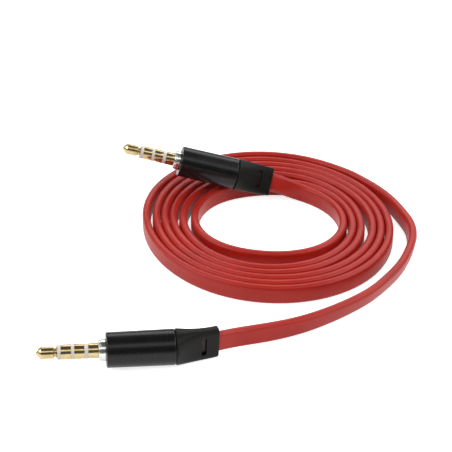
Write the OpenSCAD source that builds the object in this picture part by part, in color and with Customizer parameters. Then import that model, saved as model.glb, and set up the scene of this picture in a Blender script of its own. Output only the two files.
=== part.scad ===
// Flat audio patch cable with a four-contact 3.5 mm plug on each end, wound on edge in a loose flat
// coil. Plug B lies on the surface at the near left, plug A leans nose up on the turns at the back.
// Millimetres, +Z up, the surface at z = 0, the origin midway between the two plugs.
// Each plug is drawn in its own frame: its axis is +X towards the tip, x = 0 is the barrel's rear
// face, and the flat cable's width runs along Z.

/* [Cable] */
// Width of the flat cable, which stands on edge
cable_w = 5; // [4:0.1:6]
// Thickness of the flat cable
cable_t = 1.7; // [1.4:0.05:2.1]
// Bevel on the four long corners of the cable
cable_bevel = 0.5; // [0.3:0.05:0.65]
// Diameter of each insulated core inside the cable
core_d = 0.8; // [0.5:0.05:0.95]
// Distance between neighbouring cores
core_pitch = 1.1; // [0.96:0.02:1.15]

/* [Coil] */
// Mean radius of the coil where the first turn starts
coil_start_r = 19.3; // [19:0.1:24]
// Mean gap between neighbouring turns
turn_gap = 0.85; // [0.81:0.01:1.6]

/* [Contacts] */
// Diameter of the rings and the sleeve
pin_d = 3.5; // [3.4:0.05:4.2]
// Diameter of the tip's head
head_d = 2.9; // [2.5:0.05:3.2]
// Length of the cone at the very tip
nose_len = 1.2; // [0.8:0.1:1.6]
// Length of the head's straight part
head_len = 2.8; // [2:0.1:3.4]
// Length of the waist that a socket's spring drops into
waist_len = 0.75; // [0.5:0.05:1]
// Diameter of that waist
waist_d = 2.1; // [1.8:0.05:2.4]
// Length of the shoulder behind the waist
shoulder_len = 0.35; // [0.2:0.05:0.6]
// Visible length of the insulator behind the tip
tip_bush_len = 0.8; // [0.5:0.05:1.1]
// Length of the first ring
ring_one_len = 2.4; // [1.8:0.1:3]
// Visible length of the insulator behind the first ring
one_bush_len = 0.7; // [0.5:0.05:1.1]
// Length of the second ring
ring_two_len = 2.3; // [1.8:0.1:3]
// Visible length of the insulator behind the second ring
two_bush_len = 0.9; // [0.5:0.05:1.2]
// Length of the sleeve in front of the collar
sleeve_len = 2.2; // [1.6:0.1:3]
// Diameter of the tip contact's rod
rod_d = 0.9; // [0.7:0.05:1]
// Wall of each nested tube and of each insulating bush
tube_wall = 0.18; // [0.14:0.01:0.2]
// How far the sleeve's neck, which the collar and the block hold, is set in
neck_step = 0.2; // [0.17:0.01:0.24]
// How much farther back each nested tube ends than the one round it
tail_step = 1.1; // [0.9:0.05:1.3]
// Length of each contact's solder cup
cup_len = 0.7; // [0.5:0.05:0.85]

/* [Barrel] */
// Length of the barrel
barrel_len = 15.7; // [14.5:0.1:20]
// Diameter of the barrel at its front face
barrel_d = 7.8; // [7.6:0.1:9.4]
// How much farther out the barrel's rear edge lies
barrel_flare = 0.25; // [0:0.05:0.5]
// Wall of the barrel at its front
barrel_wall = 0.6; // [0.4:0.05:0.7]
// Thickness of the barrel's front wall
front_wall = 1.2; // [0.8:0.1:1.8]
// Bevel round the barrel's front edge
barrel_bevel = 0.35; // [0.1:0.05:0.6]
// Diameter of the collar
collar_d = 5.1; // [4.8:0.1:6]
// Length of the collar in front of the barrel
collar_len = 1.8; // [1.2:0.1:2.4]
// Diameter of the collar's spigot in the front wall
collar_spigot_d = 4.4; // [4.1:0.1:4.7]
// Length of the insulating block that holds the contacts inside the barrel
block_len = 3; // [2:0.1:4]

/* [Strain relief] */
// Length of the boot behind the barrel
boot_len = 9.8; // [8.5:0.1:12]
// How far the boot stands out round the barrel's rear edge
boot_lip = 0.15; // [0:0.05:0.4]
// Wall of the boot's flat end above and below the cable
end_rim = 1.2; // [1:0.05:1.5]
// Wall of the boot's flat end on either side of the cable
end_wall = 0.5; // [0.4:0.05:1]
// Length of the boot's spigot inside the barrel
spigot_len = 2.5; // [1.5:0.1:3]
// Width of the flexing slot, along the boot
slot_w = 1; // [0.6:0.1:1.4]
// Height of the flexing slot
slot_h = 4.3; // [3:0.1:4.6]
// Place of the flexing slot, measured from the barrel
slot_at = 6.4; // [5.5:0.1:6.8]
// Gap between a cable and the passage that it runs through
passage_gap = 0.05; // [0.02:0.01:0.15]
// Sideways bend of plug A's boot, in degrees
bend_a = 7; // [7:1:20]
// Sideways bend of plug B's boot, in degrees
bend_b = 10; // [7:1:30]

/* [Hidden] */
$fn = 64;

RED = [0.76, 0.16, 0.16];
GOLD = [0.83, 0.66, 0.3];
NICKEL = [0.78, 0.79, 0.78];
IVORY = [0.93, 0.9, 0.87];
BLACK = [0.08, 0.08, 0.09];
CHARCOAL = [0.17, 0.18, 0.18];
CORE_TINTS = [[0.8, 0.5, 0.2], [0.2, 0.5, 0.25], [0.2, 0.3, 0.65], [0.75, 0.2, 0.2]];

// Outlines of the boot: round at the barrel, flat at the cable
boot_d = barrel_d + 2 * (barrel_flare + boot_lip);
boot_end_h = cable_w + 2 * end_rim;
boot_end_t = cable_t + 2 * end_wall;

// Where the coil's centre lies from the origin
coil_at = [26.1, 23.1, 0];

// ---- The coil's line: turns are counted clockwise from the back, seen from above ----

first_turn = 0.125;
last_turn = 6.08;
rings_per_turn = 24;
// The loose first turn dips inwards at the front: depth, place in turns, and spread in turns
dip = [4, 0.51, 0.14];
// How the turns lie off centre and oval, for the innermost and the outermost turn:
// towards the back, towards the right, and the two terms of the oval
inner_lie = [-2, 1, 0.7, -0.1];
outer_lie = [-0.4, 0.5, 1.3, -1.3];

coil_pitch = cable_t + turn_gap;
function lie(turn) = inner_lie + (outer_lie - inner_lie) * turn / 6;
function coil_r(turn) =
    let (a = 360 * turn, k = lie(turn))
    coil_start_r + coil_pitch * turn
    + k[0] * cos(a) + k[1] * sin(a) + k[2] * cos(2 * a) + k[3] * sin(2 * a)
    - dip[0] * exp(-pow((turn - dip[1]) / dip[2], 2));
function coil_point(turn) =
    [coil_r(turn) * sin(360 * turn), coil_r(turn) * cos(360 * turn), cable_w / 2];
function coil_way(turn) = unit(coil_point(turn + 0.001) - coil_point(turn - 0.001));

coil_steps = round((last_turn - first_turn) * rings_per_turn);
coil_turns = [for (i = [0:coil_steps]) first_turn + (last_turn - first_turn) * i / coil_steps];
// Length of the coil's straight ends
straight_end = 2.6;
coil_start = coil_point(first_turn) - coil_way(first_turn) * straight_end;
coil_end = coil_point(last_turn) + coil_way(last_turn) * straight_end;
coil_frames = concat(
    [frame_at(coil_start, coil_way(first_turn), 0)],
    [for (s = coil_turns) frame_at(coil_point(s), coil_way(s), 0)],
    [frame_at(coil_end, coil_way(last_turn), 0)]
);

// Least gap between a turn and the next one out, measured from ring to ring
function flat_gap(p, q) = norm([p[0] - q[0], p[1] - q[1]]) - cable_t;
coil_gap = min([
    for (i = [0:len(coil_frames) - rings_per_turn + 4])
        for (j = [i + rings_per_turn - 4:min(i + rings_per_turn + 4, len(coil_frames) - 2)])
            for (u = [0:0.1:1])
                flat_gap(coil_frames[i][0],
                    coil_frames[j][0] * (1 - u) + coil_frames[j + 1][0] * u)
]);
echo("least gap between the coil's turns, mm", coil_gap);

// ---- The free stretches: x, y and rise from a cable that lies on the surface, and the lean in
// degrees ----

// From plug A's boot down to the coil, measured from the coil's start
lead_from_start = [[-7.4, 0.4, 2.95, 23], [-4.7, 0.85, 1.45, 11], [-2.15, 0.9, 0.3, 3]];
exit_a = [coil_start[0] - 10.04, coil_start[1] + 0.27, cable_w + boot_d / 2 - 3.05];
lead_route = [for (p = lead_from_start) p + [coil_start[0], coil_start[1], 0, 0]];

// From the coil beside its outermost turn: azimuth clockwise from the back, the gap, and the lean
tail_beside = [
    [45, 1.2, 0], [56, 1.4, 0], [65, 1.9, 0.5], [75, 2.5, 1.5], [85, 3.1, 3],
    [95, 4.2, 5], [105, 4.45, 8], [115, 4.2, 11], [125, 4.4, 14], [135, 4.8, 16.5]
];
function beside(azimuth, gap, lean) =
    let (r = coil_r(floor(last_turn) - 1 + azimuth / 360) + cable_t + gap)
    [r * sin(azimuth), r * cos(azimuth), 0, lean];
// Then round the front to plug B's boot, measured from the coil's centre
tail_front = [
    [24.8, -35.2, 0, 18], [19.6, -40, 0, 16.5], [14, -44.2, 0, 13], [8.1, -47.8, 0, 8],
    [2.2, -50.5, 0.1, 3], [-3.2, -52.6, 0.4, 0], [-8.3, -54.7, 0.9, 0]
];
tail_route = concat([for (p = tail_beside) beside(p[0], p[1], p[2])], tail_front);
exit_b = [-13.1, -57.65, boot_d / 2 - 0.4];
ring_step = 3.4;

// How far plug A's flat side leans back on the turns, in degrees
lean_a = 30;
// Azimuth and rise of each plug's axis, towards the tip
way_a = [182, 16];
way_b = [188, 2.4];
// A plug's pose: where the cable leaves its boot, the way from there into the boot, the lean of
// the cable's flat side, and the boot's bend
pose_a = [exit_a, way_a - bend_a * [cos(lean_a), sin(lean_a)], lean_a, bend_a];
pose_b = [exit_b, way_b + bend_b * [1, 0], 0, -bend_b];

// ---- Vectors and frames ----

function unit(v) = v / norm(v);
function turn_x(v, a) = [v[0], v[1] * cos(a) - v[2] * sin(a), v[1] * sin(a) + v[2] * cos(a)];
function turn_y(v, a) = [v[0] * cos(a) + v[2] * sin(a), v[1], v[2] * cos(a) - v[0] * sin(a)];
function turn_z(v, a) = [v[0] * cos(a) - v[1] * sin(a), v[0] * sin(a) + v[1] * cos(a), v[2]];

// A frame is a ring's centre, the way across the cable's thickness, and the way up its width
function frame_at(p, way, lean) =
    let (side = unit(cross(way, [0, 0, 1])), up = cross(side, way))
    [p, side * cos(lean) + up * sin(lean), up * cos(lean) - side * sin(lean)];

// The boot's middle line in the plug's frame, s back from the barrel: an arc of the given bend
function boot_line(s, bend) =
    s <= 0 ? [-s, 0, 0] :
    let (r = boot_len / (bend * PI / 180), a = s / boot_len * bend)
    [-r * sin(a), r * (1 - cos(a)), 0];
function boot_turn(s, bend) = s <= 0 ? 0 : -s / boot_len * bend;

// From a plug's own frame to the coil's
function plug_turn(v, pose) =
    turn_z(turn_y(turn_x(turn_z(v, pose[3]), pose[2]), -pose[1][1]), pose[1][0]);
function plug_point(v, pose) = pose[0] + plug_turn(v - boot_line(boot_len, pose[3]), pose);

// Frames of the cable inside a boot and its spigot, from the inner end out to the exit
boot_stations = [-spigot_len, -spigot_len / 2, 0, for (i = [1:5]) boot_len * i / 5];
function inside_frames(pose) = [
    for (s = boot_stations)
        let (a = boot_turn(s, pose[3]))
        [
            plug_point(boot_line(s, pose[3]), pose),
            plug_turn(turn_z([0, 1, 0], a), pose),
            plug_turn([0, 0, 1], pose)
        ]
];

// A smooth curve through the middle two of four points
function through(p, u) =
    0.5 * (2 * p[1] + (p[2] - p[0]) * u + (2 * p[0] - 5 * p[1] + 4 * p[2] - p[3]) * u * u
    + (3 * p[1] - p[0] - 3 * p[2] + p[3]) * u * u * u);
function place(p) = [p[0], p[1], p[2]];
// How high the middle of a leaning cable is when it stands on its lower corner
function standing(lean) =
    cable_w / 2 * cos(lean) + (cable_t / 2 - cable_bevel) * sin(abs(lean));
// A route point as it lies on the surface, and an exit as a route point
function laid(p) = [p[0], p[1], standing(p[3]) + max(0, p[2]), p[3]];
function start_of(exit, lean) = [exit[0], exit[1], exit[2] - standing(lean), lean];
function four(route, i) =
    [route[max(i - 1, 0)], route[i], route[i + 1], route[min(i + 2, len(route) - 1)]];
// Frames along a route, without its two end points
function route_frames(route) =
    let (dots = [
        for (i = [0:len(route) - 2])
            let (n = max(1, round(norm(place(route[i + 1]) - place(route[i])) / ring_step)))
            for (j = [0:n - 1]) laid(through(four(route, i), j / n))
    ], last = len(dots) - 1, all = concat(dots, [laid(route[len(route) - 1])]))
    [
        for (i = [1:last])
            frame_at(place(all[i]), unit(place(all[i + 1]) - place(all[i - 1])), all[i][3])
    ];
function reversed(list) = [for (i = [len(list) - 1:-1:0]) list[i]];

// ---- The flat cable ----

// Corners of the cable's section, across its thickness and up its width
function section(grow) =
    let (t = cable_t / 2 + grow, w = cable_w / 2 + grow, b = cable_bevel)
    [
        [-t, b - w], [b - t, -w], [t - b, -w], [t, b - w],
        [t, w - b], [t - b, w], [b - t, w], [-t, w - b]
    ];

module ribbon(frames, grow = 0) {
    corners = section(grow);
    n = len(corners);
    last = (len(frames) - 1) * n;
    points = [for (f = frames) for (c = corners) f[0] + f[1] * c[0] + f[2] * c[1]];
    walls = [
        for (i = [0:len(frames) - 2])
            for (j = [0:n - 1])
                let (a = i * n + j, b = i * n + (j + 1) % n)
                each [[a, b, a + n], [b, b + n, a + n]]
    ];
    front = [for (j = [1:n - 2]) [0, j + 1, j]];
    back = [for (j = [1:n - 2]) [last, last + j, last + j + 1]];
    polyhedron(points, concat(walls, front, back));
}

module cable_lead() {
    coil_side = [coil_start[0], coil_start[1], 0, 0];
    color(RED) translate(coil_at)
        ribbon(concat(
            inside_frames(pose_a),
            route_frames(concat([start_of(exit_a, lean_a)], lead_route, [coil_side])),
            [coil_frames[0]]
        ));
}

module cable_coil() {
    color(RED) translate(coil_at) ribbon(coil_frames);
}

module cable_tail() {
    coil_side = [coil_end[0], coil_end[1], 0, 0];
    color(RED) translate(coil_at)
        ribbon(concat(
            [coil_frames[len(coil_frames) - 1]],
            route_frames(concat([coil_side], tail_route, [start_of(exit_b, 0)])),
            [for (f = reversed(inside_frames(pose_b))) [f[0], -f[1], f[2]]]
        ));
}

// ---- A plug's contacts, in its own frame ----

// Radii of the nest, from the tip's rod out to the sleeve
function nest_r(i) = rod_d / 2 + i * tube_wall;
pin_r = pin_d / 2;
neck_r = pin_r - neck_step;
// Places along the plug's axis, from the barrel forward
collar_front = barrel_len + collar_len;
sleeve_front = collar_front + sleeve_len;
two_bush_front = sleeve_front + two_bush_len;
ring_two_front = two_bush_front + ring_two_len;
one_bush_front = ring_two_front + one_bush_len;
ring_one_front = one_bush_front + ring_one_len;
tip_bush_front = ring_one_front + tip_bush_len;
shoulder_front = tip_bush_front + shoulder_len;
waist_front = shoulder_front + waist_len;
head_front = waist_front + head_len;
tip_front = head_front + nose_len;
// The insulating block behind the front wall, and the contacts' tails behind it
block_front = barrel_len - front_wall;
block_back = block_front - block_len;
sleeve_tail = block_back - 0.6;
function tail_at(step) = sleeve_tail - step * tail_step;
// A bush ends just short of the tube inside it
bush_short = 0.7;

// A solid of revolution round the plug's axis, from points of place and radius
module turned(profile) {
    rotate([0, 90, 0]) rotate_extrude() polygon([for (p = profile) [p[1], p[0]]]);
}

// Half a tube that takes a core's solder, open away from the given side
module solder_cup(back, r_in, r_out, side) {
    intersection() {
        turned([[back, r_in], [back, r_out], [back + cup_len, r_out], [back + cup_len, r_in]]);
        translate([back - 1, -r_out, side > 0 ? 0 : -r_out - 1])
            cube([cup_len + 2, 2 * r_out, r_out + 1]);
    }
}

// A contact or a bush: a band at full diameter in front and a thin tube back through the nest
module nested(level, tail, band_back, band_front) {
    r_in = nest_r(level);
    r_out = nest_r(level + 1);
    turned([
        [tail, r_in], [tail, r_out], [band_back, r_out],
        [band_back, pin_r], [band_front, pin_r], [band_front, r_in]
    ]);
}

module tip() {
    rod_r = rod_d / 2;
    shoulder_r = head_d / 2 + 0.05;
    color(GOLD) turned([
        [tail_at(3), 0], [tail_at(3), rod_r], [tip_bush_front, rod_r],
        [tip_bush_front, shoulder_r], [shoulder_front, shoulder_r],
        [shoulder_front + 0.15, waist_d / 2], [waist_front - 0.3, waist_d / 2],
        [waist_front, head_d / 2], [head_front, head_d / 2],
        [head_front + nose_len * 0.45, head_d * 0.36], [tip_front - 0.18, head_d * 0.14],
        [tip_front, head_d * 0.05], [tip_front, 0]
    ]);
}

module tip_bush() {
    color(IVORY) nested(0, tail_at(3) + bush_short, ring_one_front, tip_bush_front);
}

module ring_one() {
    color(GOLD) {
        nested(1, tail_at(2), one_bush_front, ring_one_front);
        solder_cup(tail_at(2) - cup_len, nest_r(1), nest_r(2), -1);
    }
}

module one_bush() {
    color(IVORY) nested(2, tail_at(2) + bush_short, ring_two_front, one_bush_front);
}

module ring_two() {
    color(GOLD) {
        nested(3, tail_at(1), two_bush_front, ring_two_front);
        solder_cup(tail_at(1) - cup_len, nest_r(3), nest_r(4), 1);
    }
}

module two_bush() {
    color(IVORY) nested(4, tail_at(1) + bush_short, sleeve_front, two_bush_front);
}

module sleeve() {
    color(GOLD) {
        turned([
            [sleeve_tail, nest_r(5)], [sleeve_tail, neck_r], [collar_front, neck_r],
            [collar_front, pin_r], [sleeve_front, pin_r], [sleeve_front, nest_r(5)]
        ]);
        solder_cup(sleeve_tail - cup_len, nest_r(5), neck_r, -1);
    }
}

// ---- The housing, in the plug's own frame ----

// Radial gap of the collar, the block and the boot's spigot in the barrel
seat_gap = 0.02;
barrel_front_r = barrel_d / 2;
barrel_rear_r = barrel_front_r + barrel_flare;
bore_r = barrel_front_r - barrel_wall;
collar_hole_r = collar_spigot_d / 2 + seat_gap;

module collar() {
    r = collar_d / 2;
    lip = 0.5;
    color(NICKEL) turned([
        [block_front, neck_r], [block_front, collar_spigot_d / 2],
        [barrel_len, collar_spigot_d / 2], [barrel_len, r],
        [collar_front - lip, r], [collar_front - lip, r - 0.15],
        [collar_front - 0.15, r - 0.15], [collar_front, r - 0.3], [collar_front, neck_r]
    ]);
}

module block() {
    rim = 0.4;
    r = bore_r - seat_gap;
    color(IVORY) turned([
        [block_back, neck_r], [block_back, r - rim], [block_back + rim, r],
        [block_front, r], [block_front, neck_r]
    ]);
}

// An insulated core from a contact to the end of the cable's jacket
module core(near_x, near_z, far_z) {
    slice = 0.01;
    hull() {
        translate([near_x - slice, 0, near_z])
            rotate([0, 90, 0]) cylinder(d = core_d, h = slice, $fn = 16);
        translate([spigot_len, 0, far_z])
            rotate([0, 90, 0]) cylinder(d = core_d, h = slice, $fn = 16);
    }
}

module cores() {
    slack = 0.08;
    starts = [
        [tail_at(1) - cup_len, nest_r(3) + core_d / 2 + slack],
        [tail_at(3), 0],
        [tail_at(2) - cup_len, -nest_r(0) - core_d / 2 - slack],
        [sleeve_tail - cup_len, -nest_r(5) - core_d / 2 - slack]
    ];
    for (i = [0:3])
        color(CORE_TINTS[i]) core(starts[i][0], starts[i][1], (1.5 - i) * core_pitch);
}

module barrel() {
    rear_bevel = 0.15;
    color(BLACK) turned([
        [0, bore_r], [0, barrel_rear_r - rear_bevel], [rear_bevel, barrel_rear_r],
        [barrel_len - barrel_bevel, barrel_front_r], [barrel_len, barrel_front_r - barrel_bevel],
        [barrel_len, collar_hole_r], [block_front, collar_hole_r], [block_front, bore_r]
    ]);
}

// The boot is round at the barrel and flattens along its bend: its height falls evenly, its
// thickness falls at once, and its section squares up towards the end
thinning = 3;
squaring = 0.9;
end_square = 5;
boot_sides = 40;
boot_shares = [0, 0.03, 0.08, 0.15, 0.23, 0.32, 0.43, 0.55, 0.67, 0.8, 0.9, 0.965, 1];
front_bevel = 0.12;
end_bevel = 0.1;
function blend(a, b, u) = a + (b - a) * u;
function signed_pow(v, e) = sign(v) * pow(abs(v), e);
function boot_drawn_in(share) = share == 0 ? front_bevel : share == 1 ? end_bevel : 0;
function boot_ring(share, bend) =
    let (
        s = share * boot_len, a = boot_turn(s, bend),
        half_t = blend(boot_end_t, boot_d, pow(1 - share, thinning)) / 2 - boot_drawn_in(share),
        half_h = blend(boot_d, boot_end_h, share) / 2 - boot_drawn_in(share),
        square = 2 / blend(2, end_square, pow(share, squaring))
    )
    [
        for (i = [0:boot_sides - 1])
            let (
                q = 360 * i / boot_sides,
                y = half_t * signed_pow(cos(q), square),
                z = half_h * signed_pow(sin(q), square)
            )
            boot_line(s, bend) + turn_z([0, y, 0], a) + [0, 0, z]
    ];
function round_ring(x, r) = [
    for (i = [0:boot_sides - 1])
        let (q = 360 * i / boot_sides) [x, r * cos(q), r * sin(q)]
];

module boot(bend) {
    beyond = 1;
    spigot_r = bore_r - seat_gap;
    end_way = turn_z([-1, 0, 0], boot_turn(boot_len, bend));
    passage = [
        for (s = concat([-spigot_len - beyond], boot_stations))
            [boot_line(s, bend), turn_z([0, 1, 0], boot_turn(s, bend)), [0, 0, 1]]
    ];
    exit = passage[len(passage) - 1];
    color(CHARCOAL) difference() {
        skin(concat(
            [round_ring(spigot_len, spigot_r), round_ring(0, spigot_r)],
            [for (share = boot_shares) boot_ring(share, bend)]
        ));
        ribbon(concat(passage, [[exit[0] + end_way * beyond, exit[1], exit[2]]]), passage_gap);
        translate(boot_line(slot_at, bend)) rotate([0, 0, boot_turn(slot_at, bend)])
            hull() for (side = [-1, 1])
                translate([0, 0, side * (slot_h - slot_w) / 2]) rotate([90, 0, 0])
                    cylinder(d = slot_w, h = 2 * boot_d, center = true, $fn = 16);
    }
}

// A closed skin over rings of equal counts of points
module skin(rings) {
    n = len(rings[0]);
    last = (len(rings) - 1) * n;
    polyhedron([for (ring = rings) each ring], concat(
        [
            for (i = [0:len(rings) - 2])
                for (j = [0:n - 1])
                    let (a = i * n + j, b = i * n + (j + 1) % n)
                    each [[a, b, a + n], [b, b + n, a + n]]
        ],
        [for (j = [1:n - 2]) [0, j + 1, j]],
        [for (j = [1:n - 2]) [last, last + j, last + j + 1]]
    ));
}

// ---- Where each plug lies ----

module in_pose(pose) {
    translate(coil_at + pose[0]) rotate([pose[2], -pose[1][1], pose[1][0]])
        rotate([0, 0, pose[3]]) translate(-boot_line(boot_len, pose[3])) children();
}
module at_a() { in_pose(pose_a) children(); }
module at_b() { in_pose(pose_b) children(); }

cable_lead();
cable_coil();
cable_tail();
at_a() tip();  // tip_a
at_a() tip_bush();  // tip_bush_a
at_a() ring_one();  // ring_one_a
at_a() one_bush();  // one_bush_a
at_a() ring_two();  // ring_two_a
at_a() two_bush();  // two_bush_a
at_a() sleeve();  // sleeve_a
at_a() collar();  // collar_a
at_a() block();  // block_a
at_a() cores();  // cores_a
at_a() barrel();  // barrel_a
at_a() boot(bend_a);  // boot_a
at_b() tip();  // tip_b
at_b() tip_bush();  // tip_bush_b
at_b() ring_one();  // ring_one_b
at_b() one_bush();  // one_bush_b
at_b() ring_two();  // ring_two_b
at_b() two_bush();  // two_bush_b
at_b() sleeve();  // sleeve_b
at_b() collar();  // collar_b
at_b() block();  // block_b
at_b() cores();  // cores_b
at_b() barrel();  // barrel_b
at_b() boot(-bend_b);  // boot_b
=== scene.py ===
from math import ceil, cos, exp, pi, radians, sin

import bpy
import numpy as np
from mathutils import Matrix, Vector


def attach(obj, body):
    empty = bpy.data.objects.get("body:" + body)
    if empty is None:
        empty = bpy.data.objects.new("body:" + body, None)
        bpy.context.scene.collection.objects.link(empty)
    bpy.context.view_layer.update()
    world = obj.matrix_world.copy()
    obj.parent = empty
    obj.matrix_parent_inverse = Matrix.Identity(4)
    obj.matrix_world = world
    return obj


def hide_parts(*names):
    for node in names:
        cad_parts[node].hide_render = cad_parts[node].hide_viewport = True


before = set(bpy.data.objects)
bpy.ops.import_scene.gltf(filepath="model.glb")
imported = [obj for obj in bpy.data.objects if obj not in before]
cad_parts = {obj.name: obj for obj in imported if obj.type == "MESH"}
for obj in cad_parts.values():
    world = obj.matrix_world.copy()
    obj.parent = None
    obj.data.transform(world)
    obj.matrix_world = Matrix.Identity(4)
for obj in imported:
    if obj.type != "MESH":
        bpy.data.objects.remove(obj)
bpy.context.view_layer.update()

# ---- The view ----
# The camera stands a third of a metre in front of the coil, a little to the left of its middle, and
# looks straight back and down at 31 degrees through a long lens.
camera = bpy.data.objects.new("camera", bpy.data.cameras.new("camera"))
camera.location = (0.015247, -0.301574, 0.194053)
camera.rotation_euler = (radians(59.285), 0, 0)
camera.data.sensor_fit = "HORIZONTAL"
camera.data.sensor_width = 36
camera.data.lens = 112.02
bpy.context.scene.collection.objects.link(camera)
bpy.context.scene.camera = camera

# ---- The flat cable ----
# One length of soft red flat cable, four fine cores side by side in an extruded jacket. It stands on
# edge in a loose flat coil of six turns, and both ends run on through a boot into a plug.
mm = 0.001
cable_width = 5 * mm
cable_thickness = 2.1 * mm
cable_corner = 0.95 * mm
boot_length = 9.8 * mm
spigot_length = 2.5 * mm
coil_centre = Vector((26.1, 23.1, 0)) * mm
coil_start_radius, coil_pitch = 19.3, 2.55
first_turn, last_turn = 0.125, 6.08
point_gap = 0.5 * mm

# Where the cable leaves each plug's boot, in millimetres from the coil's centre, and how the plug lies:
# the azimuth and rise of its way into the boot there, the lean of its flat side, and the boot's bend
plug_lies = {
    "a": {"exit_point": (1.316, 15.298, 6.25), "azimuth": 175.938, "rise": 12.5, "lean": 30, "bend": 7},
    "b": {"exit_point": (-13.1, -57.65, 3.9), "azimuth": 198, "rise": 2.4, "lean": 0, "bend": -10},
}
# Plug B's boot is also bent up a little by the pull of its cable
lifts = {"a": 0, "b": 0.4 * mm}


def boot_line(back, bend, lift=0):
    """A point on a plug's middle line and the line's turn there, for a way back from the barrel."""
    if back <= 0:
        return Vector((-back, 0, 0)), 0.0
    turn = back / boot_length * bend
    radius = boot_length / bend
    rise = lift * (back / boot_length) ** 2
    return Vector((-radius * sin(turn), radius * (1 - cos(turn)), rise)), -turn


def plug_pose(exit_point, azimuth, rise, lean, bend):
    """The matrix from a plug's own frame, whose axis is +X towards the tip, to the object's."""
    azimuth, rise, lean, bend = (radians(angle) for angle in (azimuth, rise, lean, bend))
    return (
        Matrix.Translation(coil_centre + Vector(exit_point) * mm)
        @ Matrix.Rotation(azimuth, 4, "Z")
        @ Matrix.Rotation(-rise, 4, "Y")
        @ Matrix.Rotation(lean, 4, "X")
        @ Matrix.Rotation(bend, 4, "Z")
        @ Matrix.Translation(-boot_line(boot_length, bend)[0])
    )


poses = {plug: plug_pose(**lies) for plug, lies in plug_lies.items()}
bends = {plug: radians(lies["bend"]) for plug, lies in plug_lies.items()}
leans = {plug: radians(lies["lean"]) for plug, lies in plug_lies.items()}


def even_radius(turn):
    """The coil's radius wound evenly, a little oval and off its centre, and drawn in at the innermost
    turn's front. The turns are counted clockwise from the back, seen from above."""
    around, share = 2 * pi * turn, turn / 6
    off_centre = (-2 + 1.6 * share) * cos(around) + (1 - 0.5 * share) * sin(around)
    oval = (0.7 + 0.6 * share) * cos(2 * around) + (-0.1 - 1.2 * share) * sin(2 * around)
    dip = 4 * exp(-(((turn - 0.51) / 0.14) ** 2))
    return (coil_start_radius + coil_pitch * turn + off_centre + oval - dip) * mm


# How far each turn has moved outwards as the coil settled, at its right and at its left, in millimetres
moved_right = [0.25, 0.05, -0.2, 0.6, 0.35, 0.2]
moved_left = [0, 0.4, 0.45, 0.15, -0.15, 0]
moved = [(first_turn, 0)]
for whole, (right, left) in enumerate(zip(moved_right, moved_left)):
    moved += [
        (whole + 0.25, right), (whole + 0.5, 0), (whole + 0.66, 0), (whole + 0.75, left), (whole + 1, 0),
    ]


def coil_radius(turn):
    """The radius as the coil has settled, with its innermost turn sagged at the back and all its turns
    packed closer at the back right."""
    sagged = 1.9 * exp(-(((turn - 0.985) / 0.1) ** 2))
    packed = 0.2 * exp(6 * (cos(2 * pi * turn - 0.45) - 1)) * (2.2 - turn)
    packed *= min(max(turn - 0.5, 0), 1) * min(max((5.9 - turn) * 2, 0), 1)
    return even_radius(turn) + (packed - sagged + np.interp(turn, *zip(*moved))) * mm


def coil_point(turn):
    radius, around = coil_radius(turn), 2 * pi * turn
    return np.array([radius * sin(around), radius * cos(around), cable_width / 2])


def coil_way(turn):
    way = coil_point(turn + 0.001) - coil_point(turn - 0.001)
    return way / np.linalg.norm(way)


def through(route):
    """Close points on a smooth line through a route's points."""
    route = np.array(route, float)
    ends = np.vstack([2 * route[0] - route[1], route, 2 * route[-1] - route[-2]])
    dots = []
    for before, start, end, after in zip(ends, ends[1:], ends[2:], ends[3:]):
        count = max(2, round(np.linalg.norm((end - start)[:3]) / point_gap))
        for share in np.arange(count) / count:
            dots.append(0.5 * (
                2 * start + (end - before) * share
                + (2 * before - 5 * start + 4 * end - after) * share**2
                + (3 * start - before - 3 * end + after) * share**3
            ))
    return np.array(dots)


def inside_boot(plug):
    """The cable's points inside a plug's spigot and boot, out to the exit."""
    return np.array([
        poses[plug] @ boot_line(back, bends[plug], lifts[plug])[0] - coil_centre
        for back in np.linspace(-spigot_length, boot_length, 25)
    ])


# The coil runs straight for about one cable thickness before its first turn and after its last
straight_end = 2.6 * mm
coil_start = coil_point(first_turn) - coil_way(first_turn) * straight_end
coil_end = coil_point(last_turn) + coil_way(last_turn) * straight_end

# The free stretches, in millimetres and degrees. The lead drops from plug A's boot to the coil's start:
# x and y from there, the rise off the floor, and the lean
lead_from_start = [(-7.4, 0.4, 2.95, 23), (-4.7, 0.85, 1.45, 11), (-2.15, 0.9, 0.3, 3)]
# The tail runs beside the outermost turn, at an azimuth from the back, a gap and a lean, and then round
# the front, by x and y from the coil's centre, the rise and the lean
tail_beside = [
    (45, 0.8, 0), (56, 1, 0), (65, 1.5, 0.5), (75, 2.1, 1.5), (85, 2.7, 3),
    (95, 3.8, 5), (105, 4.05, 8), (115, 3.8, 11), (125, 4, 14), (135, 4.4, 16.5),
]
tail_front = [
    (24.8, -35.2, 0, 18), (19.6, -40, 0, 16.5), (14, -44.2, 0, 13), (8.1, -47.8, 0, 8),
    (2.2, -50.5, 0.1, 3), (-3.2, -52.6, 0.4, 0), (-8.3, -54.7, 0.9, 0),
]


def standing(lean):
    """Height of the middle of a leaning cable that stands on its rounded lower corner."""
    return (
        (cable_width / 2 - cable_corner) * np.cos(lean)
        + (cable_thickness / 2 - cable_corner) * np.sin(np.abs(lean)) + cable_corner
    )


def route_point(x, y, rise, lean):
    return (x, y, rise + standing(radians(lean)), radians(lean))


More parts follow.
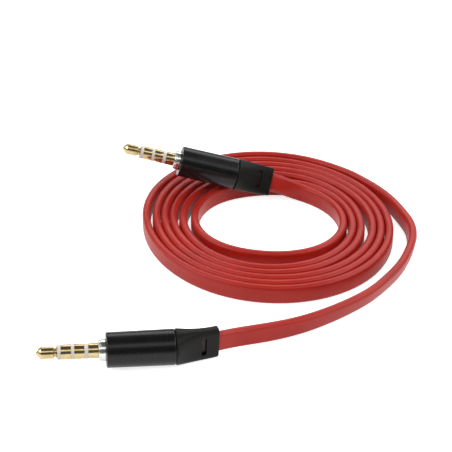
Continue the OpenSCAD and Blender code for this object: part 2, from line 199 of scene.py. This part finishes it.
inner_a, inner_b = inside_boot("a"), inside_boot("b")
lead_route = [(*inner_a[-1], leans["a"])] + [
    route_point(coil_start[0] + x * mm, coil_start[1] + y * mm, rise * mm, lean)
    for x, y, rise, lean in lead_from_start
] + [route_point(*coil_start[:2], 0, 0)]
tail_route = [route_point(*coil_end[:2], 0, 0)]
for azimuth, gap, lean in tail_beside:
    beside = even_radius(int(last_turn) - 1 + azimuth / 360) + cable_thickness + gap * mm
    tail_route.append(
        route_point(beside * sin(radians(azimuth)), beside * cos(radians(azimuth)), 0, lean)
    )
tail_route += [route_point(x * mm, y * mm, rise * mm, lean) for x, y, rise, lean in tail_front]
tail_route.append((*inner_b[-1], leans["b"]))

lead, tail = through(lead_route), through(tail_route)
points_per_turn = 360
turns = np.linspace(first_turn, last_turn, round((last_turn - first_turn) * points_per_turn))
coil = np.array([coil_point(turn) for turn in turns])
line = np.vstack([
    inner_a, lead[1:, :3], coil_start, coil, coil_end, tail[1:, :3], inner_b[::-1]
])
leaning = np.concatenate([
    np.full(len(inner_a), leans["a"]), lead[1:, 3], np.zeros(len(coil) + 2), tail[1:, 3],
    np.full(len(inner_b), leans["b"]),
])

# Spread evenly, then relaxed as a springy cable lies: held in the boots, and freed over the first
# points past them
points_to_free, relaxing_steps = 12, 24
free = np.ones(len(line))
free[: len(inner_a)] = free[-len(inner_b):] = 0
lengths = np.concatenate([[0], np.cumsum(np.linalg.norm(np.diff(line, axis=0), axis=1))])
cable_length = lengths[-1]
even = np.arange(0, cable_length, point_gap)
free = np.minimum(
    np.interp(even, lengths, np.cumsum(free) / points_to_free),
    np.interp(even, lengths, np.cumsum(free[::-1])[::-1] / points_to_free),
).clip(0, 1)[:, None]
line = np.array([np.interp(even, lengths, line[:, axis]) for axis in range(3)]).T
leaning = np.interp(even, lengths, leaning)
for _ in range(relaxing_steps):
    middle = (line[:-2] + 2 * line[1:-1] + line[2:]) / 4
    line[1:-1] += (middle - line[1:-1]) * free[1:-1]
    leaning[1:-1] = (leaning[:-2] + 2 * leaning[1:-1] + leaning[2:]) / 4
line[:, 2] = np.maximum(line[:, 2], standing(leaning))

# The cable's own directions at each point, across its thickness and up its width
ways = np.gradient(line, axis=0)
ways /= np.linalg.norm(ways, axis=1)[:, None]
level = np.cross(ways, (0, 0, 1))
level /= np.linalg.norm(level, axis=1)[:, None]
upright = np.cross(level, ways)
cosine, sine = np.cos(leaning)[:, None], np.sin(leaning)[:, None]
sides = level * cosine + upright * sine
ups = upright * cosine - level * sine


def rounded_box(half_thick, half_wide, corner, steps):
    """The outline of a flat section with rounded corners, anticlockwise from its lower left corner."""
    outline = []
    for quarter, (across, up) in enumerate([(-1, -1), (1, -1), (1, 1), (-1, 1)]):
        for step in range(steps + 1):
            angle = pi + quarter * pi / 2 + step / steps * pi / 2
            outline.append((
                across * (half_thick - corner) + corner * cos(angle),
                up * (half_wide - corner) + corner * sin(angle),
            ))
    return outline


def skin(rings, girth):
    """The faces between rings of points, one ring after another."""
    return [
        (ring * girth + side, ring * girth + (side + 1) % girth,
         (ring + 1) * girth + (side + 1) % girth, (ring + 1) * girth + side)
        for ring in range(rings - 1) for side in range(girth)
    ]


def piece(name, points, faces, finish):
    """A mesh piece on the object's one body, smooth but for its hard edges."""
    mesh = bpy.data.meshes.new(name)
    mesh.from_pydata([tuple(point) for point in points], [], faces)
    mesh.validate()
    mesh.shade_smooth()
    mesh.set_sharp_from_angle(angle=radians(38))
    mesh.materials.append(finish)
    made = bpy.data.objects.new(name, mesh)
    bpy.context.scene.collection.objects.link(made)
    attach(made, "root")
    return made


class Wire:
    """A socket in a material. Sums on it are written plainly, and become its Math nodes."""

    def __init__(self, tree, socket=None):
        self.tree, self.socket = tree, socket

    def node(self, kind, settings=None, inputs=None, output=0):
        made = self.tree.nodes.new("ShaderNode" + kind)
        for name, setting in (settings or {}).items():
            if name == "stops":
                stops = made.color_ramp.elements
                while len(stops) < len(setting):
                    stops.new(0.5)
                for stop, (place, colour) in zip(stops, setting):
                    stop.position, stop.color = place, colour
            else:
                setattr(made, name, setting)
        for name, value in (inputs or {}).items():
            if isinstance(value, Wire):
                self.tree.links.new(value.socket, made.inputs[name])
            else:
                made.inputs[name].default_value = value
        return Wire(self.tree, made.outputs[output] if made.outputs else None)

    def place(self):
        """Where a point of the piece is, in metres."""
        return self.node("TexCoord", {}, {}, "Object")

    def map(self, name):
        """Where a point lies on one of the piece's own maps."""
        return self.node("UVMap", {"uv_map": name})

    def math(self, operation, *terms):
        return self.node("Math", {"operation": operation}, dict(enumerate(terms)))

    def stretched(self, *scales):
        return self.node("VectorMath", {"operation": "MULTIPLY"}, {0: self, 1: scales})

    def noise(self, scale, detail):
        return self.node("TexNoise", {}, {"Vector": self, "Scale": scale, "Detail": detail})

    def between(self, low, high):
        """A share from 0 to 1 as this value goes from low to high."""
        return self.node("MapRange", {}, {"Value": self, "From Min": low, "From Max": high})

    def tint(self, low, high):
        """A colour from low to high by this share. A Mix node takes its colours at sockets 6 and 7."""
        return self.node("Mix", {"data_type": "RGBA"}, {0: self, 6: low, 7: high}, 2)

    def bump(self, height, depth, under=None):
        inputs = {"Height": self, "Distance": depth, "Strength": height}
        if under:
            inputs["Normal"] = under
        return self.node("Bump", {}, inputs)

    def __add__(self, other):
        return self.math("ADD", self, other)

    def __mul__(self, other):
        return self.math("MULTIPLY", self, other)

    def __sub__(self, other):
        return self.math("SUBTRACT", self, other)

    def __rsub__(self, other):
        return self.math("SUBTRACT", other, self)

    __radd__ = __add__
    __rmul__ = __mul__


def shade(red, green, blue):
    """A colour as it looks, from 0 to 255, as the shader takes it."""
    levels = [level / 255 for level in (red, green, blue)]
    return (*[x / 12.92 if x < 0.04045 else ((x + 0.055) / 1.055) ** 2.4 for x in levels], 1)


def new_finish(name):
    finish = bpy.data.materials.new(name)
    finish.use_nodes = True
    finish.node_tree.nodes.clear()
    return finish, Wire(finish.node_tree)


def surface(wires, **sockets):
    """Ends a finish in its one shader. Underscores stand for the spaces in a socket's name."""
    inputs = {name.replace("_", " "): value for name, value in sockets.items()}
    shader = wires.node("BsdfPrincipled", {}, inputs)
    wires.node("OutputMaterial", {}, {"Surface": shader})


# Satin red jacket: fine draw lines along it, soft mottling, and a slight waviness from handling. Inside
# each boot it has painted shade, a dark red for the shadow at the bottom of the boot's slot
jacket_finish, jacket = new_finish("red jacket")
boot_hold = spigot_length + boot_length
bright_from, dark_to = boot_hold - 0.5 * mm, boot_hold - 0.9 * mm
run = jacket.map("run")
along = jacket.node("SeparateXYZ", {}, {0: run})
# Painted shade: 1 inside each boot, where the jacket lies in shadow at the bottom of the slot, and 0
# outside
slot_shade = 1 - along.between(dark_to, bright_from) + along.between(
    cable_length - bright_from, cable_length - dark_to
)
draw_lines = run.stretched(60, 2600, 1).noise(1, 3)
mottle = jacket.place().noise(90, 3)
waviness = run.stretched(110, 260, 1).noise(1, 1)
red = (0.6 * mottle + 0.4 * draw_lines).between(0.3, 0.7).tint(
    shade(170, 28, 19), shade(191, 39, 26)
)
surface(
    jacket,
    Base_Color=slot_shade.tint(red, shade(44, 9, 12)),
    Roughness=0.3 + 0.16 * draw_lines,
    Specular_IOR_Level=0.36,
    Normal=draw_lines.bump(0.25, 0.00004, waviness.bump(0.4, 0.00025)),
)

section = rounded_box(cable_thickness / 2, cable_width / 2, cable_corner, 5)
ring_gap = 1.25 * mm
keep = np.unique(np.linspace(0, len(even) - 1, round(cable_length / ring_gap)).astype(int))
rings, girth = len(keep), len(section)
# The jacket is squeezed thinner where a boot is moulded round it
squeezed = 0.68
to_end = np.minimum(even, cable_length - even)
squeeze = np.interp(to_end, [boot_hold - 2 * mm, boot_hold - 0.8 * mm], [squeezed, 1])
cable_points = [
    line[at] + sides[at] * across * squeeze[at] + ups[at] * up + coil_centre
    for at in keep for across, up in section
]
cable_ends = [tuple(range(girth))[::-1], tuple((rings - 1) * girth + side for side in range(girth))]
cable = piece("flat_cable", cable_points, skin(rings, girth) + cable_ends, jacket_finish)

# Places along and round the jacket in metres, for its draw lines, and a sheet of strips for baking
edge_lengths = np.linalg.norm(np.diff(section + section[:1], axis=0), axis=1)
round_at = np.concatenate([[0], np.cumsum(edge_lengths)])
strips = 10
strip_start, strip_reach, strip_margin = 0.004, 0.99, 0.04
per_strip = ceil((rings - 1) / strips)
run_map = cable.data.uv_layers.new(name="run")
strip_map = cable.data.uv_layers.new(name="OFBake")
for ring in range(rings - 1):
    strip, at = divmod(ring, per_strip)
    for side in range(girth):
        corners = [(0, side), (0, side + 1), (1, side + 1), (1, side)]
        for corner, (on, over) in enumerate(corners):
            loop = (ring * girth + side) * 4 + corner
            run_map.data[loop].uv = (even[keep[ring + on]], round_at[over])
            up_strip = strip_margin + (1 - 2 * strip_margin) * round_at[over] / round_at[-1]
            strip_map.data[loop].uv = (
                strip_start + strip_reach * (at + on) / per_strip, (strip + up_strip) / strips,
            )
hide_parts("cable_lead", "cable_coil", "cable_tail")
[tuple(point) for point in (line + np.array(coil_centre))[keep]]

# ---- The contacts ----
# Four gold-plated brass contacts nest inside each other, a rod inside three tubes, each with a solder
# tail at the back. Moulded bushes part them and show as pale bands between the tip, rings and sleeve.

# A plug's places and radii are in millimetres, and its places count forwards from the barrel's rear
pin_radius, neck_radius = 1.75, 1.55
rod_radius, tube_wall = 0.45, 0.18
collar_front = 17.65


def eased(profile, rounding):
    """A profile of place and radius with its corners rounded, but not on the axis."""
    made = []
    for before, corner, after in zip(profile[-1:] + profile[:-1], profile, profile[1:] + profile[:1]):
        corner, before, after = Vector(corner), Vector(before), Vector(after)
        short = min((before - corner).length, (after - corner).length)
        if corner.y == 0:
            made.append(tuple(corner))
            continue
        reach = min(rounding, 0.4 * short)
        start = corner + (before - corner).normalized() * reach
        end = corner + (after - corner).normalized() * reach
        for share in (0, 0.25, 0.5, 0.75, 1):
            made.append(tuple(
                start * (1 - share) ** 2 + corner * 2 * share * (1 - share) + end * share**2
            ))
    return made


def turned(name, profile, pose, finish, rounding=0.05, sides=96):
    """A solid of revolution on a plug's axis from a closed profile of place and radius."""
    profile = eased(profile, rounding)
    points, rows = [], []
    for place, radius in profile:
        if radius == 0:
            rows.append([len(points)] * sides)
            points.append((place, 0, 0))
        else:
            rows.append(list(range(len(points), len(points) + sides)))
            points += [
                (place, radius * cos(2 * pi * side / sides), radius * sin(2 * pi * side / sides))
                for side in range(sides)
            ]
    faces = []
    for one, two in zip(rows, rows[1:] + rows[:1]):
        if one[0] == one[1] and two[0] == two[1]:
            continue
        for side in range(sides):
            face = (one[side], one[(side + 1) % sides], two[(side + 1) % sides], two[side])
            faces.append(tuple(dict.fromkeys(face)))
    made = piece(name, [pose @ (Vector(point) * mm) for point in points], faces, finish)
    # Places along and round the axis, for the turning lines
    turn_map = made.data.uv_layers.new(name="turn")
    own = [(point[0] * mm, at % sides / sides) for at, point in enumerate(points)]
    for loop in made.data.loops:
        turn_map.data[loop.index].uv = own[loop.vertex_index]
    weigh = made.modifiers.new("even normals", "WEIGHTED_NORMAL")
    weigh.keep_sharp = True
    return made


# Gold plate over brass, with fine lines from turning and a little dulling where a socket rubs it
gold_finish, gold = new_finish("gold plate")
turning = gold.map("turn").stretched(26000, 2, 1).noise(1, 2)
rub = gold.place().noise(700, 3)
surface(
    gold,
    Base_Color=rub.between(0.35, 0.7).tint(shade(204, 186, 144), shade(188, 164, 114)),
    Metallic=1.0,
    Roughness=0.1 + 0.14 * rub,
    Normal=turning.bump(0.12, 0.000006),
)

# Ivory nylon, slightly waxy
bush_finish, bush = new_finish("ivory nylon")
cloud = bush.place().noise(900, 3)
surface(
    bush,
    Base_Color=cloud.tint(shade(226, 216, 208), shade(240, 233, 226)),
    Roughness=0.3 + 0.15 * cloud,
    Normal=cloud.bump(0.1, 0.00002),
)


def nest(level):
    """Inner radius of a nested tube, by its level outwards from the tip's rod."""
    return rod_radius + tube_wall * level


def nested(level, tail, band_back, band_front):
    """A band at full diameter in front, and a thin tube back through the nest."""
    return [
        (tail, nest(level)), (tail, nest(level + 1)), (band_back, nest(level + 1)),
        (band_back, pin_radius), (band_front, pin_radius), (band_front, nest(level)),
    ]


# A rod, a shoulder, a waist, and a head that ends in a blunt cone
tip_profile = [
    (7.6, 0), (7.6, rod_radius), (27.0, rod_radius), (27.0, 1.5), (27.2, 1.5), (27.35, 1.05),
    (27.7, 1.05), (27.9, 1.45), (30.7, 1.45), (31.24, 1.04), (31.72, 0.41), (31.9, 0.15), (31.9, 0),
]
sleeve_profile = [
    (10.9, nest(5)), (10.9, neck_radius), (collar_front, neck_radius), (collar_front, pin_radius),
    (20.0, pin_radius), (20.0, nest(5)),
]
contacts = {
    "tip": (tip_profile, gold_finish, "contact"),
    "tip_bush": (nested(0, 8.3, 26.3, 27.0), bush_finish, "insulator"),
    "ring_one": (nested(1, 8.7, 23.9, 26.3), gold_finish, "contact"),
    "one_bush": (nested(2, 9.4, 23.2, 23.9), bush_finish, "insulator"),
    "ring_two": (nested(3, 9.8, 20.85, 23.2), gold_finish, "contact"),
    "two_bush": (nested(4, 10.5, 20.0, 20.85), bush_finish, "insulator"),
    "sleeve": (sleeve_profile, gold_finish, "contact"),
}
for plug, pose in poses.items():
    for contact, (profile, finish, slot) in contacts.items():
        made = turned(f"plug_{plug}_{contact}", profile, pose, finish)
        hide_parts(f"{contact}_{plug}")

# ---- The collars ----
# A nickel-plated brass collar is pressed over the sleeve and held in the barrel's front wall by its
# spigot. A fine step is turned near its front edge.
barrel_front, wall_back = 15.9, 14.5
collar_spigot_radius, flange_radius, step_radius = 2.2, 2.55, 2.4
nickel_finish, nickel = new_finish("nickel plate")
turning = nickel.map("turn").stretched(20000, 2, 1).noise(1, 2)
surface(
    nickel,
    Base_Color=turning.tint(shade(206, 210, 206), shade(224, 226, 222)),
    Metallic=1.0,
    Roughness=0.16 + 0.1 * turning,
    Normal=turning.bump(0.15, 0.000008),
)
collar_profile = [
    (wall_back, neck_radius), (wall_back, collar_spigot_radius),
    (barrel_front, collar_spigot_radius), (barrel_front, flange_radius), (17.15, flange_radius),
    (17.15, step_radius), (17.5, step_radius), (collar_front, 2.25), (collar_front, neck_radius),
]
for plug, pose in poses.items():
    made = turned(f"plug_{plug}_collar", collar_profile, pose, nickel_finish, rounding=0.08)
    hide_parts(f"collar_{plug}")

# ---- Inside the barrels ----
# An insulating block holds the contacts behind the front wall, and the four cores fan out from the
# jacket's end to their solder tails. Both stay as the frame has them and take their finish here.
block_finish, block = new_finish("block plastic")
cloud = block.place().noise(600, 2)
surface(
    block,
    Base_Color=cloud.tint(shade(214, 206, 192), shade(230, 224, 212)),
    Roughness=0.45 + 0.1 * cloud,
)
core_finish, core = new_finish("core insulation")
cloud = core.place().noise(800, 2)
surface(
    core,
    Base_Color=cloud.between(0.3, 0.7).tint(shade(196, 120, 52), shade(180, 60, 50)),
    Roughness=0.4 + 0.1 * cloud,
)
for plug in poses:
    for node, finish in ((f"block_{plug}", block_finish), (f"cores_{plug}", core_finish)):
        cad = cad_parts[node]
        cad.data.materials.clear()
        cad.data.materials.append(finish)

# ---- The barrels ----
# A smooth black barrel, turned and anodised, widens a little towards the rear. Its front wall takes
# the collar, and both edges are broken with a fine bevel that catches the light.
bore_radius, wall_bore_radius = 3.3, collar_spigot_radius + 0.02
barrel_finish, barrel = new_finish("black barrel")
turning = barrel.map("turn").stretched(9000, 2, 1).noise(1, 2)
haze = barrel.place().noise(260, 3)
surface(
    barrel,
    Base_Color=haze.tint(shade(10, 10, 10), shade(18, 18, 18)),
    Roughness=0.2 + 0.1 * haze + 0.05 * turning,
    Specular_IOR_Level=0.33,
    Normal=turning.bump(0.08, 0.000006),
)
barrel_profile = [
    (0, bore_radius), (0, 4.0), (0.25, 4.22), (15.72, 4.12), (barrel_front, 3.94),
    (barrel_front, wall_bore_radius), (wall_back, wall_bore_radius), (wall_back, bore_radius),
]
for plug, pose in poses.items():
    made = turned(
        f"plug_{plug}_barrel", barrel_profile, pose, barrel_finish, rounding=0.12, sides=128
    )
    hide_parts(f"barrel_{plug}")

# ---- The boots ----
# A moulded rubber boot is plugged into the barrel's rear. It is round there and flattens along its
# bend to the cable, with a flexing slot through both flat sides, down to the cable.
boot_radius, boot_end_height, boot_end_thickness = 4.3, 7.75, 2.7
boot_spigot_radius, boot_clearance = 3.28, 0.03
taper_length, boot_end, rim_radius, mouth_depth = boot_length / mm, 10.1, 0.14, 2.5
slot_at, slot_radius, slot_straight, slot_floor = 6.5, 0.5, 1.8, 0.6
slot_near, slot_far = slot_at - slot_radius, slot_at + slot_radius

# The boot's points lie closer together at the slot's edges: round it by angle, and along it by place
corner_angles = [0, 3, 6, 9, 12, 14, *range(15, 30), 31, 33, 36, *range(40, 90, 5)]
boot_angles = sorted({90, 270} | {
    turn % 360 for angle in corner_angles for turn in (angle, 180 - angle, 180 + angle, 360 - angle)
})


def spread(start, end, gap):
    """Places a gap apart, from a start up to an end."""
    return {*np.round(np.arange(start, end, gap), 3)}


boot_places = sorted(
    {0.294, 9.55, taper_length} | spread(0.6, 5.7, 0.3)
    | spread(slot_near - 0.2, slot_near + 0.04, 0.02) | spread(slot_near + 0.05, slot_far - 0.24, 0.07)
    | spread(slot_far - 0.24, slot_far + 0.01, 0.02) | spread(7.1, 9.4, 0.3)
)


def power(value, exponent):
    """A power that keeps the sign."""
    return (1 if value >= 0 else -1) * abs(value) ** exponent


def boot_outline(back, inset):
    """The outline across a boot's thickness and height, a way back from the barrel and inset all round.
    It goes from a circle to a box with rounded corners."""
    share = back / taper_length
    thickness = boot_end_thickness + (2 * boot_radius - boot_end_thickness) * (1 - share) ** 3
    height = 2 * boot_radius + (boot_end_height - 2 * boot_radius) * share
    exponent = 2 / (2 + 3 * share**0.9)
    return [
        ((thickness / 2 - inset) * power(cos(radians(angle)), exponent),
         (height / 2 - inset) * power(sin(radians(angle)), exponent))
        for angle in boot_angles
    ]


def round_outline(radius):
    return [(radius * cos(radians(angle)), radius * sin(radians(angle))) for angle in boot_angles]


def passage_outline(gap):
    """The cable's outline and a gap all round, with as many points as the boot's."""
    steps = len(boot_angles) // 4 - 1
    half_way = len(boot_angles) // 2
    outline = rounded_box(
        cable_thickness / 2 / mm + gap, cable_width / 2 / mm + gap, cable_corner / mm + gap, steps
    )
    return outline[half_way:] + outline[:half_way]


def slotted(back, outline):
    """Presses the flexing slot into an outline, to just inside the squeezed cable's faces. The slot's
    edge falls away over a tenth of a millimetre."""
    made = []
    for across, up in outline:
        past = max(abs(up) - slot_straight, 0)
        outside = np.hypot(back - slot_at, past) - slot_radius
        depth = np.clip((0.06 - outside) / 0.1, 0, 1)
        depth = depth * depth * (3 - 2 * depth)
        across = (1 if across > 0 else -1) * (abs(across) * (1 - depth) + slot_floor * depth)
        made.append((across, up))
    return made


rubber_finish, rubber = new_finish("charcoal rubber")
grain = rubber.place().noise(5200, 2)
bloom = rubber.place().noise(240, 3)
surface(
    rubber,
    Base_Color=bloom.between(0.3, 0.7).tint(shade(10, 11, 9), shade(18, 19, 16)),
    Roughness=0.42 + 0.14 * bloom,
    Specular_IOR_Level=0.22,
    Normal=grain.bump(0.25, 0.00003),
)

# From the passage's front over the spigot, in a shadow line where the boot meets the barrel, along its
# outside and its rounded rim, and in again at the mouth, where the passage flares a little
front_sections = [
    (-spigot_length / mm, passage_outline(boot_clearance)),
    (-spigot_length / mm, round_outline(boot_spigot_radius)), (0, round_outline(boot_spigot_radius)),
    *[(back, boot_outline(back, inset)) for back, inset in ((0, 0.4), (0.12, 0.18), (0.24, 0.04))],
]
outer_sections = [(back, slotted(back, boot_outline(back, 0))) for back in boot_places]
rim_sections = [
    (boot_end - rim_radius * (1 - sin(angle)), boot_outline(taper_length, rim_radius * (1 - cos(angle))))
    for angle in np.linspace(0, pi / 2, 7)
]
mouth_sections = [
    (boot_end, passage_outline(0.12)), (boot_end - 0.06, passage_outline(0.06)),
    (boot_end - 0.2, passage_outline(boot_clearance)),
    (boot_end - mouth_depth, passage_outline(boot_clearance)),
]
sections = front_sections + outer_sections + rim_sections + mouth_sections
# A boot's rings run backwards, so its faces are turned over
boot_faces = [(a, d, c, b) for a, b, c, d in skin(len(sections), len(boot_angles))]
for plug, pose in poses.items():
    points = []
    for back, outline in sections:
        middle, turn = boot_line(back * mm, bends[plug], lifts[plug])
        for across, up in outline:
            offset = Matrix.Rotation(turn, 3, "Z") @ Vector((0, across, up)) * mm
            points.append(pose @ (middle + offset))
    made = piece(f"plug_{plug}_boot", points, boot_faces, rubber_finish)
    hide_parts(f"boot_{plug}")

# ---- The floor and the light ----
# A wide pale floor, and soft light: a large box on either side, smaller ones over the camera and behind
# the object, and a dim room with a pale horizon. The floor keeps the object's shadow.
floor_reach, floor_height = 20, -0.05 * mm
floor_mesh = bpy.data.meshes.new("floor")
floor_mesh.from_pydata(
    [(x * floor_reach, y * floor_reach, floor_height) for x, y in ((-1, -1), (1, -1), (1, 1), (-1, 1))],
    [], [(0, 1, 2, 3)],
)
floor_finish, floor = new_finish("pale floor")
seen = 0.8 * floor.node("LightPath", {}, {}, "Is Camera Ray") + 0.55 * (
    floor.node("LightPath", {}, {}, "Is Glossy Ray")
    + floor.node("LightPath", {}, {}, "Is Transmission Ray")
)
paper = floor.node("BsdfDiffuse", {}, {"Color": (0.9, 0.9, 0.9, 1)})
glow = floor.node("Emission", {}, {"Strength": seen})
floor.node("OutputMaterial", {}, {"Surface": floor.node("AddShader", {}, {0: paper, 1: glow})})
floor_mesh.materials.append(floor_finish)
floor_piece = bpy.data.objects.new("floor", floor_mesh)
bpy.context.scene.collection.objects.link(floor_piece)

# Each box: its place and its width and height in metres, and how bright its face is
for name, place, width, height, brightness in (
    ("box_left", (-1.2, -0.1, 1.0), 1.7, 1.1, 2.5),
    ("box_right", (1.2, -0.1, 1.0), 1.7, 1.1, 2.5),
    ("box_front", (0, -0.75, 1.1), 1.3, 0.45, 1.5),
    ("box_back", (0.25, 1.3, 1.0), 2.1, 0.7, 2.4),
):
    lamp = bpy.data.lights.new(name, "AREA")
    lamp.shape = "RECTANGLE"
    lamp.size, lamp.size_y = width, height
    lamp.energy = brightness * pi * width * height
    box = bpy.data.objects.new(name, lamp)
    box.location = place
    box.rotation_euler = (-Vector(place)).to_track_quat("-Z", "Y").to_euler()
    bpy.context.scene.collection.objects.link(box)

world = bpy.data.worlds.new("room")
world.use_nodes = True
world.node_tree.nodes.clear()
room = Wire(world.node_tree)
way_up = room.node("SeparateXYZ", {}, {0: room.node("TexCoord", {}, {}, "Generated")}, "Z")
greys = [(height, (grey, grey, grey, 1)) for height, grey in ((0, 0.4), (0.03, 0.25), (0.1, 0.12))]
room_light = room.node("ValToRGB", {"stops": greys}, {"Fac": way_up})
room.node("OutputWorld", {}, {"Surface": room.node("Background", {}, {"Color": room_light})})
bpy.context.scene.world = world
bpy.context.scene.view_settings.view_transform = "Standard"

bpy.context.view_layer.update()
